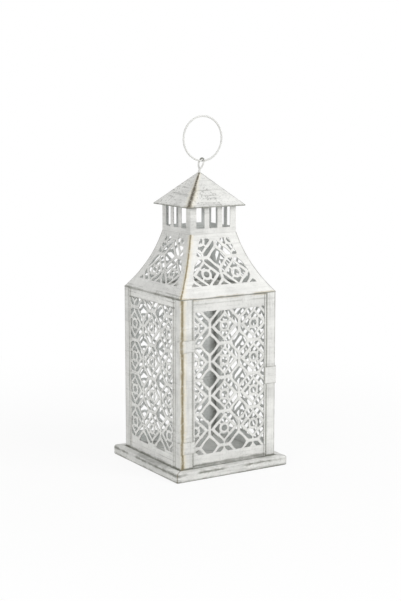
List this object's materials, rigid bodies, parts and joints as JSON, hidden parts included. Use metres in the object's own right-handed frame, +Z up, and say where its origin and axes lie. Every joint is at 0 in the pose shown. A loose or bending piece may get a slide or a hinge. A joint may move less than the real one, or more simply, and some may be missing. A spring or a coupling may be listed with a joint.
{
  "type": "punched tin lantern",
  "caption": "Square whitewashed tin candle lantern with pierced fretwork sides, a hinged door, a flared pierced hood, a slotted neck, a pyramid roof and a wire carrying ring.",
  "frame": {"origin": "middle of the foot's underside, at the level on which the lantern stands", "axes": "+Z up, -Y out of the door, +X to the right of a person who faces the door"},
  "size_m": [0.135, 0.135, 0.3638],
  "materials": {
    "whitewashed_sheet": "matte whitewash, rubbed and streaked",
    "whitewashed_fittings": "matte whitewash, rubbed at the edges",
    "whitewashed_wire": "matte whitewash over iron wire"
  },
  "bodies": {
    "lantern": {"base_pan": "whitewashed_sheet", "post_front_left": "whitewashed_sheet", "post_front_right": "whitewashed_sheet", "post_back_left": "whitewashed_sheet", "post_back_right": "whitewashed_sheet", "left_panel": "whitewashed_sheet", "right_panel": "whitewashed_sheet", "back_panel": "whitewashed_sheet", "upper_hinge_post_leaf": "whitewashed_fittings", "upper_hinge_pin": "whitewashed_wire", "lower_hinge_post_leaf": "whitewashed_fittings", "lower_hinge_pin": "whitewashed_wire", "head_frame": "whitewashed_sheet", "hood_panel_front": "whitewashed_sheet", "hood_panel_back": "whitewashed_sheet", "hood_panel_left": "whitewashed_sheet", "hood_panel_right": "whitewashed_sheet", "vent_gallery": "whitewashed_sheet", "roof_cap": "whitewashed_sheet", "lifting_eye": "whitewashed_wire"},
    "door": {"door_panel": "whitewashed_sheet", "upper_hinge_door_leaf": "whitewashed_fittings", "lower_hinge_door_leaf": "whitewashed_fittings", "door_clasp": "whitewashed_fittings"},
    "ring": {"carry_ring": "whitewashed_wire"}
  },
  "joints": [
    {"name": "door_hinge", "type": "hinge", "parent": "lantern", "child": "door", "pos_m": [-0.05855, -0.05855, 0.09], "axis": [0, 0, -1], "range_deg": [0, 265]},
    {"name": "ring_swing", "type": "hinge", "parent": "lantern", "child": "ring", "pos_m": [0.0034, 0, 0.31682], "axis": [1, 0, 0], "range_deg": [-139, 139]}
  ]
}
